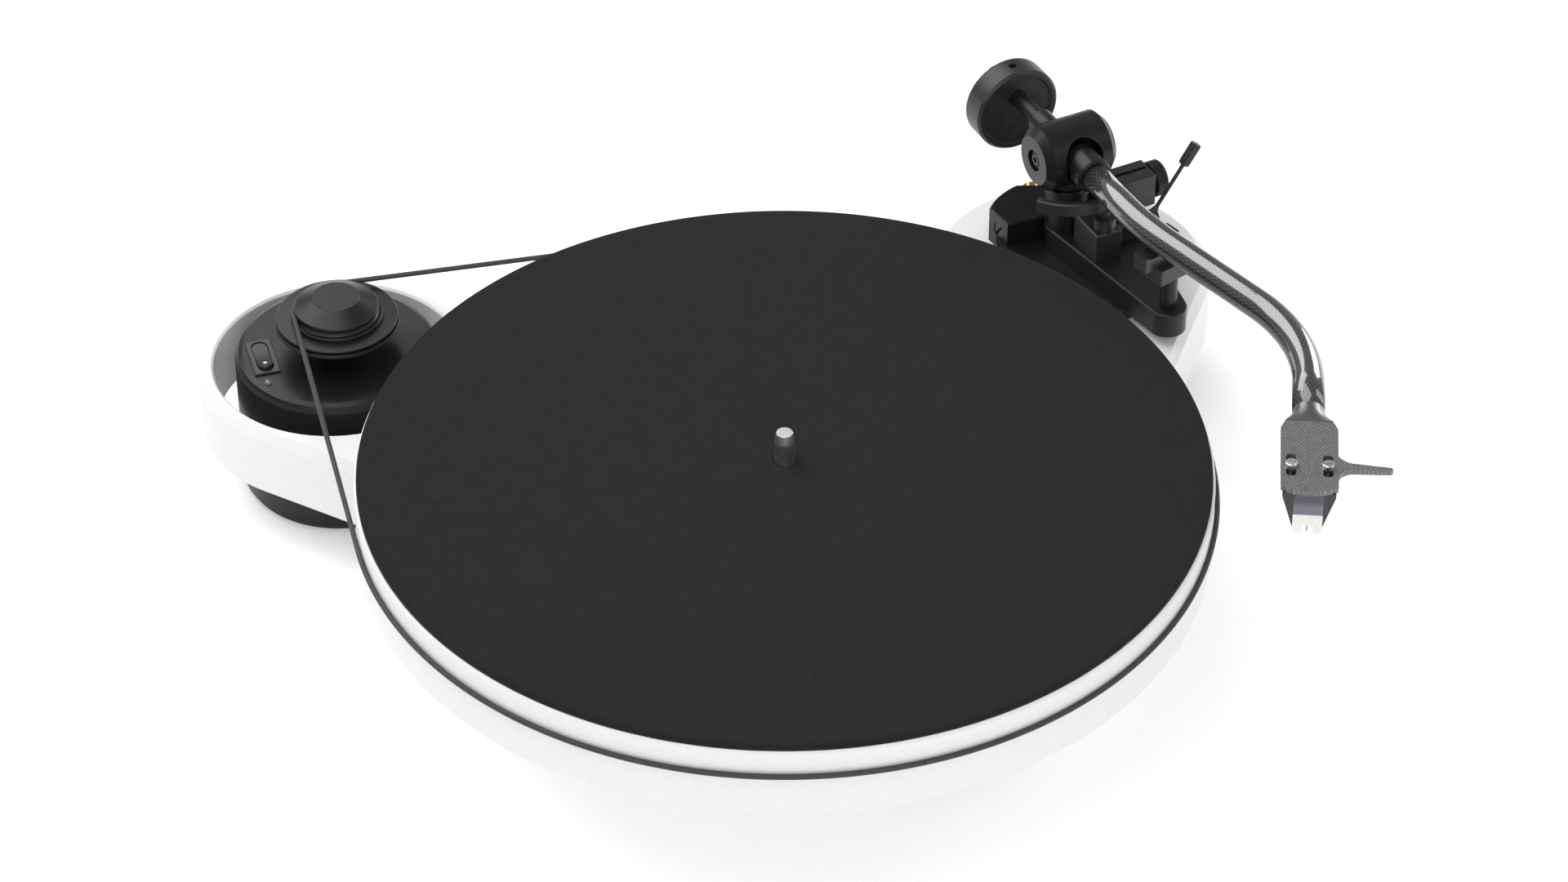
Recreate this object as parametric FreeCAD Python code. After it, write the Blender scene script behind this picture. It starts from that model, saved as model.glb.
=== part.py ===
"""Belt-driven record player: free-standing motor, curved plinth, MDF platter and an S-shaped tonearm.

Everything is drawn about the platter's axis, with z = 0 on the table, +X to the right and +Y to the back.
save() moves each piece by ORIGIN, so that the finished model has its origin under the middle of the player.
"""
import FreeCAD, Part
import math
import os

V = FreeCAD.Vector
UP = V(0, 0, 1)

# ---- driving dimensions, in millimetres and degrees ------------------------------------------------
ORIGIN = V(4.0, -33.9, 0)        # moves the platter's axis so that the origin is under the middle

# platter and main bearing
PLATTER_R, PLATTER_Z0, PLATTER_Z1 = 150.2, 56.0, 84.0
MAT_R, MAT_Z1 = 149.4, 86.0
HUB_R = 14.0
SPINDLE_R, SPINDLE_TOP, SPINDLE_CONE = 3.6, 98.6, 3.7
STEM_R = 3.0                     # the spindle's stem, pressed into the hub
SHAFT_R, SHAFT_TOP = 5.0, 74.0   # fixed bearing shaft, with a ball on top
BALL_R = 2.5
FIT = 0.05                       # radial running clearance of every shaft
BEARING_FLANGE_R, BEARING_BOSS_R, BEARING_FLANGE_T = 28.0, 12.0, 3.0
BEARING_Z0 = 30.0                # underside of the bearing's boss
BEARING_SCREW_R, BEARING_HEAD_R, BEARING_SCREW_Z0 = 1.6, 2.9, 41.0

# plinth
PLINTH_Z0, PLINTH_Z1 = 24.5, 52.0
PLINTH_BEVEL = 3.0
MOTOR = V(-165.0, 103.0, 0)
RING_R, RING_HOLE_R = 51.5, 45.6
FRONT_LOBE = (61.3, -45.0, 34.0)
ARM_LOBE = (108.0, 162.0, 53.0)
WAIST = (-15.0, 115.0, -70.0)    # a negative radius is a hollow curve
FEET = [(-112.0, 38.0), (64.0, -47.0), (140.0, 152.0)]
PAD_R, PAD_H, CONE_R = 9.0, 3.0, 16.0
STUD_R, STUD_Z0, STUD_Z1 = 3.0, 12.0, 36.0

# motor unit, belt and pulley
MOTOR_R, MOTOR_TOP, MOTOR_WALL = 37.5, 58.0, 2.5
MOTOR_PAD_H, MOTOR_BASE_Z = 2.0, 6.0
CAN_R, CAN_BORE_R, CAN_TOP = 22.0, 20.5, 50.0
COIL_R, COIL_Z0, COIL_Z1 = 14.5, 14.0, 42.0
ROTOR_R, ROTOR_Z0, ROTOR_Z1 = 13.8, 16.0, 40.0
MOTOR_SHAFT_Z0, MOTOR_SHAFT_Z1, BUSH_R, BUSH_H = 8.0, 77.0, 6.0, 5.0
PULLEY = V(-164.0, 103.0, 0)
BELT_Z, BELT_R = 74.5, 0.95
BELT_GAP = 0.1
PULLEY_33, PULLEY_45 = 14.8, 20.3    # groove floors
GROOVE_R = 1.2
MOTOR_SHAFT_R = 2.0
SWITCH_ANGLE = 196.5             # where the switch sits round the motor
SWITCH_AT = 27.6                 # distance of its middle from the motor's axis
SWITCH_HALF_U, SWITCH_HALF_V = 4.1, 9.3
ROCKER_W, ROCKER_L, ROCKER_TILT = 5.5, 17.0, 6.0
ROCKER_Z = MOTOR_TOP - 0.6       # height of the rocker's pin
LED_AT, LED_R = V(-23.2, -22.6, 0), 1.3
SOCKET_ANGLE, SOCKET_R, SOCKET_Z = 80.0, 4.5, 16.0

# tonearm: the pivot, the direction of the tube and the height of its centre line
PIVOT = V(106.0, 168.0, 0)
ARM_ANGLE = -62.7
ARM_Z = 100.0
ARM_BENDS = [(V(131.4, 118.7, ARM_Z), 150.0), (V(186.0, 51.9, ARM_Z), 65.0)]
SLOTS = V(179.8, -26.4, 0)       # middle of the headshell's two slots
HEADSHELL_ANGLE = -94.5
TUBE_R0, TUBE_R1, TUBE_WALL = 5.2, 5.8, 1.0
TUBE_START = 10.0
TUBE_LENGTHS = (1, 3, 1, 4, 1)   # short solids in each straight run and bend of the tube
TILT_MAX = 15.0
YOKE_R, YOKE_HALF, YOKE_BEVEL = 12.5, 15.0, 3.0
PIVOT_PIN_R, PIVOT_SCREW_R = 0.95, 2.5    # the points that the arm tilts on, and their screws
HEADSHELL_HALF, HEADSHELL_TOP, HEADSHELL_T = 9.9, 105.0, 2.0
BILL_START, BILL_END = -35.0, -24.5    # the headshell's neck, measured along it from the slots
SLOT_PITCH, SLOT_W, SLOT_L = 12.7, 3.6, 12.0
WEIGHT_R, WEIGHT_NEAR, WEIGHT_L, WEIGHT_DROP = 17.2, 37.8, 11.0, 5.5
STUB_R, STUB_END = 3.25, 58.0
CART_TOP_HALF, CART_LOW_HALF, CART_Z0 = 9.2, 5.3, 88.6
CART_FRONT, CART_BACK = 12.9, -7.5
CART_SCREW_W, CART_SCREW_R, CART_HEAD_R, CART_SCREW_Z0 = 1.0, 1.25, 2.1, 95.4
SEAT_Z, GUARD_HALF = 93.6, 5.1   # the stylus holder: the face it sits against and its half width

# arm base, lift, anti-skate and arm rest
BASE_Z1 = 67.0
DRUM_R = 29.8
FACET_A = (V(77.9, 176.5, 0), V(84.1, 166.1, 0))   # short facet with the lock screw
FACET_B = (V(84.1, 166.1, 0), V(104.0, 174.0, 0))  # long facet that runs to the pillar
REAR_FLAT = 24.0                 # the sockets' flat face, behind the pivot
PHONO_R, PHONO_PIN_R, PHONO_Z = 4.15, 1.6, 59.0
PILLAR_R, PILLAR_Z1 = 8.0, 86.0
SPIGOT_R, SPIGOT_Z0 = 5.0, 53.6  # the pillar slides on this in the base
PIVOT_SHAFT_R, RACE_R, RACE_H = 2.5, 4.5, 4.0
RACE_LEVELS = (69.0, 79.5)
BAR_END, BAR_HEEL = V(141.5, 116.0, 0), (119.0, 172.0, 12.0)
BAR_END_R, BAR_Z0 = 7.1, 57.0
WEB = [(104.0, 128.0, 6.0), (124.0, 134.0, 8.0)]   # front corners of the low part under the bar
WEB_R = 26.0                     # the low part's radius round the pivot
REST_POST_R, REST_POST_Z0, REST_POST_Z1 = 3.2, 62.0, 81.6
BASE_SCREW_R, BASE_SCREW_Z1, BASE_HEAD_R, BASE_HEAD_Z1 = 2.0, 62.5, 3.9, 29.5
LIFT_ANGLE = -57.0               # where the lift's piston stands round the pivot
LIFT_R, LIFT_W, LIFT_Z0, LIFT_Z1 = 24.0, 2.8, 87.6, 92.7
BAR_FROM, BAR_TO = -120.0, -52.0
PISTON_R = 2.0
LIFT_SHAFT_U, LIFT_SHAFT_Z, LIFT_SHAFT_R = 18.0, 72.0, 1.5
CAM_R, CAM_OFFSET = 2.8, 1.7
LEVER_T, LEVER_LEAN = 26.0, 34.0
SKATE_Z, SKATE_SCREW_R = 74.5, 1.5
CLIP = V(136.8, 112.1, 0)        # where the tube crosses the arm rest
CLIP_ANGLE = -50.7


# ---- helpers ---------------------------------------------------------------------------------------
def polar(angle, radius=1.0):
    a = math.radians(angle)
    return V(radius * math.cos(a), radius * math.sin(a), 0)


def cyl(radius, z0, z1, at=V(0, 0, 0)):
    return Part.makeCylinder(radius, z1 - z0, V(at.x, at.y, z0))


def rod(start, end, radius):
    return Part.makeCylinder(radius, (end - start).Length, start, end - start)


def turned(profile, at=V(0, 0, 0), axis=UP):
    """A turned part: profile is a list of (radius, distance along the axis from at)."""
    side = V(1, 0, 0) if abs(axis.z) > 0.9 else UP
    points = [at + side * r + axis * h for r, h in profile]
    face = Part.Face(Part.makePolygon(points + [points[0]]))
    return face.revolve(at, axis, 360)


def box(x0, x1, y0, y1, z0, z1):
    return Part.makeBox(x1 - x0, y1 - y0, z1 - z0, V(x0, y0, z0))


def loop(circles, z):
    """Closed outline wrapped anticlockwise round circles (x, y, radius) like a belt."""
    n = len(circles)
    ends = []
    for i in range(n):
        (x0, y0, r0), (x1, y1, r1) = circles[i], circles[(i + 1) % n]
        run = V(x1 - x0, y1 - y0, 0)
        e = run.normalize() if run.Length else run
        length = math.hypot(x1 - x0, y1 - y0)
        a = (r0 - r1) / length
        normal = e * a + V(e.y, -e.x, 0) * math.sqrt(1 - a * a)
        ends.append((V(x0, y0, z) + normal * r0, V(x1, y1, z) + normal * r1))
    edges = []
    for i in range(n):
        x, y, r = circles[i]
        start, end = ends[i - 1][1], ends[i][0]
        centre = V(x, y, z)
        a0 = math.atan2(start.y - y, start.x - x)
        a1 = math.atan2(end.y - y, end.x - x)
        sweep = (a1 - a0) % (2 * math.pi) if r > 0 else -((a0 - a1) % (2 * math.pi))
        middle = a0 + sweep / 2
        through = centre + V(math.cos(middle), math.sin(middle), 0) * abs(r)
        edges.append(Part.Arc(start, through, end).toShape())
        edges.append(Part.LineSegment(ends[i][0], ends[i][1]).toShape())
    return Part.Wire(edges)


def slab(circles, z0, z1):
    return Part.Face(loop(circles, z0)).extrude(UP * (z1 - z0))


def level_edges(shape, z):
    return [e for e in shape.Edges if abs(e.BoundBox.ZMin - z) < 1e-3 and abs(e.BoundBox.ZMax - z) < 1e-3]


def frame(x_angle, at):
    """Placement whose X axis points along x_angle in plan, with its origin at a point."""
    return FreeCAD.Placement(at, FreeCAD.Rotation(UP, x_angle))


def placed(shape, x_angle, at):
    out = shape.copy()
    out.Placement = frame(x_angle, at).multiply(out.Placement)
    return out


ARM_U = polar(ARM_ANGLE)         # towards the headshell
ARM_T = polar(ARM_ANGLE + 90)    # along the tilt axis
HEAD_W = polar(HEADSHELL_ANGLE)
HEAD_S = polar(HEADSHELL_ANGLE + 90)


def arm(u, t, z):
    return V(PIVOT.x, PIVOT.y, 0) + ARM_U * u + ARM_T * t + UP * z


def tilted(shape, degrees):
    """The shape after the arm has tilted up by an angle."""
    out = shape.copy()
    out.rotate(arm(0, 0, ARM_Z), ARM_T, -degrees)
    return out


def tilt_sweep(start, end, radius, steps=4):
    """The room that a round piece of the arm needs while it tilts."""
    piece = rod(start, end, radius)
    return piece.multiFuse([tilted(piece, TILT_MAX * i / steps) for i in range(1, steps + 1)])


def arm_box(u0, u1, t0, t1, z0, z1):
    return placed(box(u0, u1, t0, t1, z0, z1), ARM_ANGLE, PIVOT)


# ---- places that follow from the dimensions --------------------------------------------------------
BASE_SCREWS = [PIVOT + polar(a, 22.0) for a in (60, 135, 300)]
BEARING_SCREWS = [polar(a, 20.0) for a in (90, 210, 330)]
SOCKET_SPOTS = [V(PIVOT.x + dx, PIVOT.y + REAR_FLAT, PHONO_Z) for dx in (-11.5, 2.5)]
GROUND_SPOT = V(PIVOT.x + 13.0, PIVOT.y + REAR_FLAT, PHONO_Z)
BACK = V(0, 1, 0)
PARTS = {}


def save(name, shape):
    moved = shape.copy()
    moved.translate(ORIGIN)
    PARTS[name] = moved


# ---- plinth and feet -------------------------------------------------------------------------------
def make_plinth():
    outline = [(MOTOR.x, MOTOR.y, RING_R), FRONT_LOBE, ARM_LOBE, WAIST]
    body = slab(outline, PLINTH_Z0, PLINTH_Z1)
    body = body.makeChamfer(PLINTH_BEVEL, level_edges(body, PLINTH_Z1))
    body = body.makeChamfer(1.0, level_edges(body, PLINTH_Z0))
    hole = turned([
        (0, PLINTH_Z0 - 1), (RING_HOLE_R + 1, PLINTH_Z0 - 1), (RING_HOLE_R + 1, PLINTH_Z0),
        (RING_HOLE_R, PLINTH_Z0 + 1), (RING_HOLE_R, PLINTH_Z1 - 0.8), (RING_HOLE_R + 1.6, PLINTH_Z1 + 0.8),
        (0, PLINTH_Z1 + 0.8)], MOTOR)
    cuts = [hole, cyl(BEARING_BOSS_R, BEARING_Z0, PLINTH_Z1 + 1)]
    cuts += [cyl(BEARING_SCREW_R, BEARING_SCREW_Z0 - 1, PLINTH_Z1 + 1, p) for p in BEARING_SCREWS]
    cuts += [cyl(STUD_R, PLINTH_Z0 - 1, STUD_Z1, V(x, y, 0)) for x, y in FEET]
    for p in BASE_SCREWS:
        cuts.append(cyl(BASE_SCREW_R + 0.2, PLINTH_Z0 - 1, PLINTH_Z1 + 1, p))
        cuts.append(cyl(BASE_HEAD_R + 0.3, PLINTH_Z0 - 1, BASE_HEAD_Z1, p))
    save("plinth", body.cut(Part.makeCompound(cuts)))


def make_feet():
    cones, pads, studs = [], [], []
    for x, y in FEET:
        at = V(x, y, 0)
        cone = turned([
            (PAD_R - 1, PAD_H), (PAD_R, PAD_H + 0.8), (CONE_R - 0.8, PLINTH_Z0 - 3.5),
            (CONE_R, PLINTH_Z0 - 2.5), (CONE_R, PLINTH_Z0 - 0.6), (CONE_R - 0.6, PLINTH_Z0),
            (0, PLINTH_Z0), (0, PAD_H)], at)
        cones.append(cone.cut(cyl(STUD_R, STUD_Z0, PLINTH_Z0 + 1, at)))
        pads.append(turned([
            (0, 0), (PAD_R - 1.2, 0), (PAD_R - 0.6, 0.6), (PAD_R - 0.6, PAD_H), (0, PAD_H)], at))
        studs.append(cyl(STUD_R, STUD_Z0, STUD_Z1, at))
    save("foot_cones", Part.makeCompound(cones))
    save("foot_pads", Part.makeCompound(pads))
    save("foot_studs", Part.makeCompound(studs))


# ---- platter and main bearing ----------------------------------------------------------------------
def make_bearing():
    top = PLINTH_Z1 + BEARING_FLANGE_T
    seat_z = PLINTH_Z1 + 1.2                        # the screws' heads stand on this
    flange = turned([
        (SHAFT_R, BEARING_Z0), (BEARING_BOSS_R, BEARING_Z0), (BEARING_BOSS_R, PLINTH_Z1),
        (BEARING_FLANGE_R, PLINTH_Z1), (BEARING_FLANGE_R, top - 0.8), (BEARING_FLANGE_R - 0.8, top),
        (SHAFT_R, top)])
    recesses, screws = [], []
    for p in BEARING_SCREWS:
        recesses.append(cyl(BEARING_HEAD_R + 0.1, seat_z, top + 1, p))
        recesses.append(cyl(BEARING_SCREW_R, PLINTH_Z1 - 1, seat_z + 0.8, p))
        screw = cyl(BEARING_SCREW_R, BEARING_SCREW_Z0, seat_z, p)
        screw = screw.fuse(cyl(BEARING_HEAD_R, seat_z, seat_z + 1.6, p))
        screws.append(screw.cut(cyl(1.3, seat_z + 0.4, top, p)))
    save("bearing_flange", flange.cut(Part.makeCompound(recesses)))
    save("bearing_screws", Part.makeCompound(screws))
    seat = Part.makeSphere(BALL_R, V(0, 0, SHAFT_TOP))
    end_z = SHAFT_TOP - 0.8
    shaft = turned([
        (0, BEARING_Z0 + 1), (SHAFT_R, BEARING_Z0 + 1), (SHAFT_R, end_z - 0.6), (SHAFT_R - 0.6, end_z),
        (0, end_z)])
    save("bearing_shaft", shaft.cut(seat))
    save("bearing_ball", seat)


def make_platter():
    save("platter", turned([
        (HUB_R, PLATTER_Z0), (PLATTER_R - 1, PLATTER_Z0), (PLATTER_R, PLATTER_Z0 + 1),
        (PLATTER_R, PLATTER_Z1 - 0.8), (PLATTER_R - 0.8, PLATTER_Z1), (HUB_R, PLATTER_Z1)]))
    ball_top = SHAFT_TOP + BALL_R + FIT
    save("platter_hub", turned([
        (SHAFT_R + FIT, PLATTER_Z0), (HUB_R, PLATTER_Z0), (HUB_R, PLATTER_Z1), (STEM_R, PLATTER_Z1),
        (STEM_R, ball_top + 2), (0, ball_top + 2), (0, ball_top), (SHAFT_R + FIT, ball_top)]))
    save("record_spindle", turned([
        (0, ball_top + 2), (STEM_R, ball_top + 2), (STEM_R, MAT_Z1), (SPINDLE_R, MAT_Z1),
        (SPINDLE_R, SPINDLE_TOP - SPINDLE_CONE), (SPINDLE_R - 0.65, SPINDLE_TOP - 0.15),
        (SPINDLE_R - 0.8, SPINDLE_TOP), (0, SPINDLE_TOP)]))
    mat_bore_r = SPINDLE_R + 0.25
    save("felt_mat", turned([
        (mat_bore_r, PLATTER_Z1), (MAT_R, PLATTER_Z1), (MAT_R, MAT_Z1 - 0.3), (MAT_R - 0.3, MAT_Z1),
        (mat_bore_r, MAT_Z1)]))


# ---- motor unit, pulley and belt -------------------------------------------------------------------
def switch_block(half_u, half_v, z0, z1):
    """Block round the switch's middle: u away from the motor's axis, v round it."""
    block = box(SWITCH_AT - half_u, SWITCH_AT + half_u, -half_v, half_v, z0, z1)
    return placed(block, SWITCH_ANGLE, MOTOR)


def switch_pill(width, length, z0, z1):
    half = (length - width) / 2
    pill = slab([(SWITCH_AT, -half, width / 2), (SWITCH_AT, half, width / 2)], z0, z1)
    return placed(pill, SWITCH_ANGLE, MOTOR)


def make_motor_unit():
    inner = MOTOR_R - MOTOR_WALL
    housing = turned([
        (inner, MOTOR_BASE_Z), (MOTOR_R, MOTOR_BASE_Z), (MOTOR_R, MOTOR_TOP - 3.4),
        (MOTOR_R - 0.5, MOTOR_TOP - 1.9), (MOTOR_R - 1.4, MOTOR_TOP - 0.9), (MOTOR_R - 3.0, MOTOR_TOP),
        (0, MOTOR_TOP), (0, MOTOR_TOP - 3), (inner, MOTOR_TOP - 3)], MOTOR)
    socket_at = MOTOR + UP * SOCKET_Z
    out = polar(SOCKET_ANGLE)
    low, high = MOTOR_TOP - 4, MOTOR_TOP + 1        # the holes in the top run through this
    holes = [
        cyl(5.0, low, high, PULLEY),
        switch_block(SWITCH_HALF_U + 0.1, SWITCH_HALF_V + 0.1, low, high),
        cyl(LED_R, low, high, MOTOR + LED_AT),
        rod(socket_at + out * 30, socket_at + out * 40, SOCKET_R)]
    save("motor_housing", housing.cut(Part.makeCompound(holes)))
    save("motor_base", turned([
        (0, MOTOR_PAD_H), (MOTOR_R - 0.6, MOTOR_PAD_H), (MOTOR_R, MOTOR_PAD_H + 0.6),
        (MOTOR_R, MOTOR_BASE_Z), (0, MOTOR_BASE_Z)], MOTOR))
    pad_r, pad_bore_r = MOTOR_R - 1.2, 12
    save("motor_pad", turned([
        (pad_bore_r, 0), (pad_r - 0.6, 0), (pad_r, 0.6), (pad_r, MOTOR_PAD_H),
        (pad_bore_r, MOTOR_PAD_H)], MOTOR))
    flange = inner - 0.8                            # flat flange just inside the curved wall
    socket = rod(socket_at + out * (inner - 9), socket_at + out * flange, 6.0)
    socket = socket.fuse(rod(socket_at + out * flange, socket_at + out * (MOTOR_R + 0.6), SOCKET_R))
    socket = socket.cut(rod(socket_at + out * (inner - 7), socket_at + out * (MOTOR_R + 1), 2.9))
    centre_pin = rod(socket_at + out * (inner - 7), socket_at + out * (MOTOR_R - 1), 1.0)
    save("power_socket", Part.makeCompound([socket, centre_pin]))
    board_x = MOTOR.x - 24
    save("circuit_board", box(board_x, board_x + 1.6, MOTOR.y - 20, MOTOR.y + 20, MOTOR_BASE_Z, 44))
    save("power_led", turned([
        (0, MOTOR_TOP - 5), (LED_R, MOTOR_TOP - 5), (LED_R, MOTOR_TOP + 0.3),
        (LED_R - 0.4, MOTOR_TOP + 0.9), (0, MOTOR_TOP + 1.1)], MOTOR + LED_AT))


def make_switch():
    plate_z1, rocker_z1 = MOTOR_TOP + 0.9, MOTOR_TOP + 1.5
    plate = switch_block(SWITCH_HALF_U + 0.7, SWITCH_HALF_V + 0.9, MOTOR_TOP, plate_z1)
    plate = plate.makeChamfer(0.3, level_edges(plate, plate_z1))
    body = switch_block(SWITCH_HALF_U, SWITCH_HALF_V, MOTOR_TOP - 10, MOTOR_TOP)
    well = switch_block(SWITCH_HALF_U - 1.0, SWITCH_HALF_V - 0.4, MOTOR_TOP - 8.5, MOTOR_TOP - 0.5)
    mouth = switch_pill(ROCKER_W + 0.6, ROCKER_L + 0.8, MOTOR_TOP - 1, MOTOR_TOP + 2)
    axis = polar(SWITCH_ANGLE)
    middle = MOTOR + axis * SWITCH_AT + UP * ROCKER_Z
    pin_r, pin_half = 0.7, 3.8
    pin = rod(middle - axis * pin_half, middle + axis * pin_half, pin_r)
    pin_holes = rod(middle - axis * (pin_half + 0.1), middle + axis * (pin_half + 0.1), pin_r + FIT)
    save("switch_bezel", plate.fuse(body).cut(Part.makeCompound([well, mouth])).cut(pin_holes))
    rocker = switch_pill(ROCKER_W, ROCKER_L, ROCKER_Z - 1.8, rocker_z1)
    rocker = rocker.makeFillet(0.5, level_edges(rocker, rocker_z1))
    dish_r = 40.0
    dish = Part.makeCylinder(dish_r, 8, middle + UP * (dish_r + 1.3) - axis * 4, axis)
    rocker = rocker.cut(dish).fuse(pin)
    rocker.rotate(middle, axis, ROCKER_TILT)
    save("power_rocker", rocker)


def make_motor():
    floor_z, roof_z = MOTOR_BASE_Z + 3, CAN_TOP - 3     # the can's inside
    save("motor_can", turned([
        (CAN_R - 1, MOTOR_BASE_Z), (CAN_R, MOTOR_BASE_Z + 0.8), (CAN_R, CAN_TOP - 0.8),
        (CAN_R - 0.8, CAN_TOP), (BUSH_R, CAN_TOP), (BUSH_R, roof_z), (CAN_BORE_R, roof_z),
        (CAN_BORE_R, floor_z), (BUSH_R, floor_z), (BUSH_R, MOTOR_BASE_Z)], PULLEY))
    save("motor_coil", turned([
        (COIL_R, COIL_Z0), (CAN_BORE_R, COIL_Z0), (CAN_BORE_R, COIL_Z1), (COIL_R, COIL_Z1)], PULLEY))
    bushes = []
    for z in (MOTOR_BASE_Z + 0.5, CAN_TOP - BUSH_H):
        bore = cyl(MOTOR_SHAFT_R + FIT, z, z + BUSH_H, PULLEY)
        bushes.append(cyl(BUSH_R, z, z + BUSH_H, PULLEY).cut(bore))
    save("motor_bushes", Part.makeCompound(bushes))
    rotor = cyl(ROTOR_R, ROTOR_Z0, ROTOR_Z1, PULLEY)
    save("motor_rotor", rotor.cut(cyl(MOTOR_SHAFT_R, ROTOR_Z0, ROTOR_Z1, PULLEY)))
    save("motor_shaft", cyl(MOTOR_SHAFT_R, MOTOR_SHAFT_Z0, MOTOR_SHAFT_Z1, PULLEY))


def make_pulley():
    top_z, flange_z = 80.4, 68.8
    cone = [(MOTOR_SHAFT_R, MOTOR_SHAFT_Z1), (0, MOTOR_SHAFT_Z1), (0, top_z), (8.7, top_z),
            (8.95, top_z - 0.2), (15.2, 76.7), (15.5, 76.3)]
    groove = []
    for degrees in (64, 30, 0, -30, -64):
        a = math.radians(degrees)
        groove.append((PULLEY_33 + GROOVE_R - GROOVE_R * math.cos(a), BELT_Z + GROOVE_R * math.sin(a)))
    flange = [(16.7, 73.3), (17.0, 73.0), (17.0, 71.9), (22.1, 71.7), (22.3, 71.5), (22.3, 71.2),
              (PULLEY_45, 71.0), (PULLEY_45, 70.4), (22.7, 70.4), (22.9, 70.2), (22.9, 69.1),
              (22.6, flange_z)]
    hub = [(8, flange_z), (8, 61), (MOTOR_SHAFT_R, 61)]
    save("pulley", turned(cone + groove + flange + hub, PULLEY))


def make_belt():
    run = [(0, 0, PLATTER_R + BELT_GAP + BELT_R), (PULLEY.x, PULLEY.y, PULLEY_33 + BELT_GAP + BELT_R)]
    path = loop(run, BELT_Z)
    start = path.Edges[0].Vertexes[0].Point
    heading = path.Edges[0].tangentAt(path.Edges[0].FirstParameter)
    section = Part.Wire([Part.makeCircle(BELT_R, start, heading)])
    save("drive_belt", path.makePipeShell([section], True, False))


# ---- arm base, pillar and rest ---------------------------------------------------------------------
def half_space(start, end, reach=60.0):
    """Block of material on the right of a line drawn in plan."""
    along = (end - start).normalize()
    side = V(along.y, -along.x, 0)
    a, b = start - along * reach, start + along * reach
    face = Part.Face(Part.makePolygon([a, b, b + side * reach, a + side * reach, a]))
    return face.extrude(UP * 100)


def lock_screw_seat():
    """Where the lock screw comes out of its facet, and the direction it points in."""
    a, b = FACET_A
    out = V((b - a).y, -(b - a).x, 0).normalize()
    return (a + b) * 0.5 + UP * 60.5, -out if out.x > 0 else out


def make_arm_base():
    px, py = PIVOT.x, PIVOT.y
    drum = cyl(DRUM_R, PLINTH_Z1, BASE_Z1, PIVOT)
    rear_flat = box(px - 40, px + 40, py + REAR_FLAT, py + 60, PLINTH_Z1 - 1, BASE_Z1 + 1)
    drum = drum.cut(half_space(*FACET_A)).cut(half_space(*FACET_B)).cut(rear_flat)
    low = slab([(px, py, WEB_R)] + WEB, PLINTH_Z1, BAR_Z0)
    bar = slab([(px, py, PILLAR_R), (BAR_END.x, BAR_END.y, BAR_END_R), BAR_HEEL], BAR_Z0, BASE_Z1)
    base = drum.multiFuse([low.cut(rear_flat), bar]).removeSplitter()
    rims = [e for e in level_edges(base, BASE_Z1) if e.Length > 4]
    base = base.makeChamfer(0.5, rims)
    middle, out = lock_screw_seat()
    screw_r = 3.2
    cuts = [rod(middle - out * 9, middle + out * 5, screw_r + 0.1),
            cyl(SPIGOT_R + FIT, SPIGOT_Z0 - 0.4, BASE_Z1 + 1, PIVOT),
            cyl(REST_POST_R, REST_POST_Z0, BASE_Z1 + 1, BAR_END)]
    cuts += [cyl(BASE_SCREW_R, PLINTH_Z1 - 1, BASE_SCREW_Z1 + 0.5, p) for p in BASE_SCREWS]
    cuts += [rod(p - BACK * 4, p + BACK * 4, 3.0) for p in SOCKET_SPOTS]
    save("arm_base", base.cut(Part.makeCompound(cuts)))
    screw = rod(middle - out * 8.8, middle - out * 0.3, screw_r)
    slot = placed(box(-8.8, 1, -4, 4, -0.45, 0.45), math.degrees(math.atan2(out.y, out.x)), V(0, 0, 0))
    slot.rotate(V(0, 0, 0), out, 55)
    slot.translate(middle)
    tip_only = rod(middle - out * 1.5, middle + out * 2, 5)
    save("base_lock_screw", screw.cut(slot.common(tip_only)))
    bolts, head_z0 = [], BASE_HEAD_Z1 - 3
    for p in BASE_SCREWS:
        bolt = cyl(BASE_SCREW_R, BASE_HEAD_Z1, BASE_SCREW_Z1, p)
        bolt = bolt.fuse(cyl(BASE_HEAD_R, head_z0, BASE_HEAD_Z1, p))
        bolts.append(bolt.cut(cyl(1.6, head_z0 - 0.5, head_z0 + 2, p)))
    save("arm_base_screws", Part.makeCompound(bolts))


def make_sockets():
    sleeves, cores = [], []
    for p in SOCKET_SPOTS:
        sleeves.append(turned([
            (PHONO_PIN_R, -3), (3.0, -3), (3.0, 0), (5.2, 0), (5.2, 1.2), (PHONO_R, 1.2), (PHONO_R, 7.4),
            (3.8, 8), (PHONO_PIN_R, 8)], p, BACK))
        cores.append(rod(p - BACK * 3, p + BACK * 0.5, PHONO_PIN_R))
    save("phono_sockets", Part.makeCompound(sleeves + cores))
    save("ground_terminal", turned([
        (0, 0), (2.2, 0), (2.2, 1.6), (1.5, 1.6), (1.5, 2.6), (2.8, 2.6), (2.8, 6.2), (2.4, 6.6),
        (0, 6.6)], GROUND_SPOT, BACK))


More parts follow.
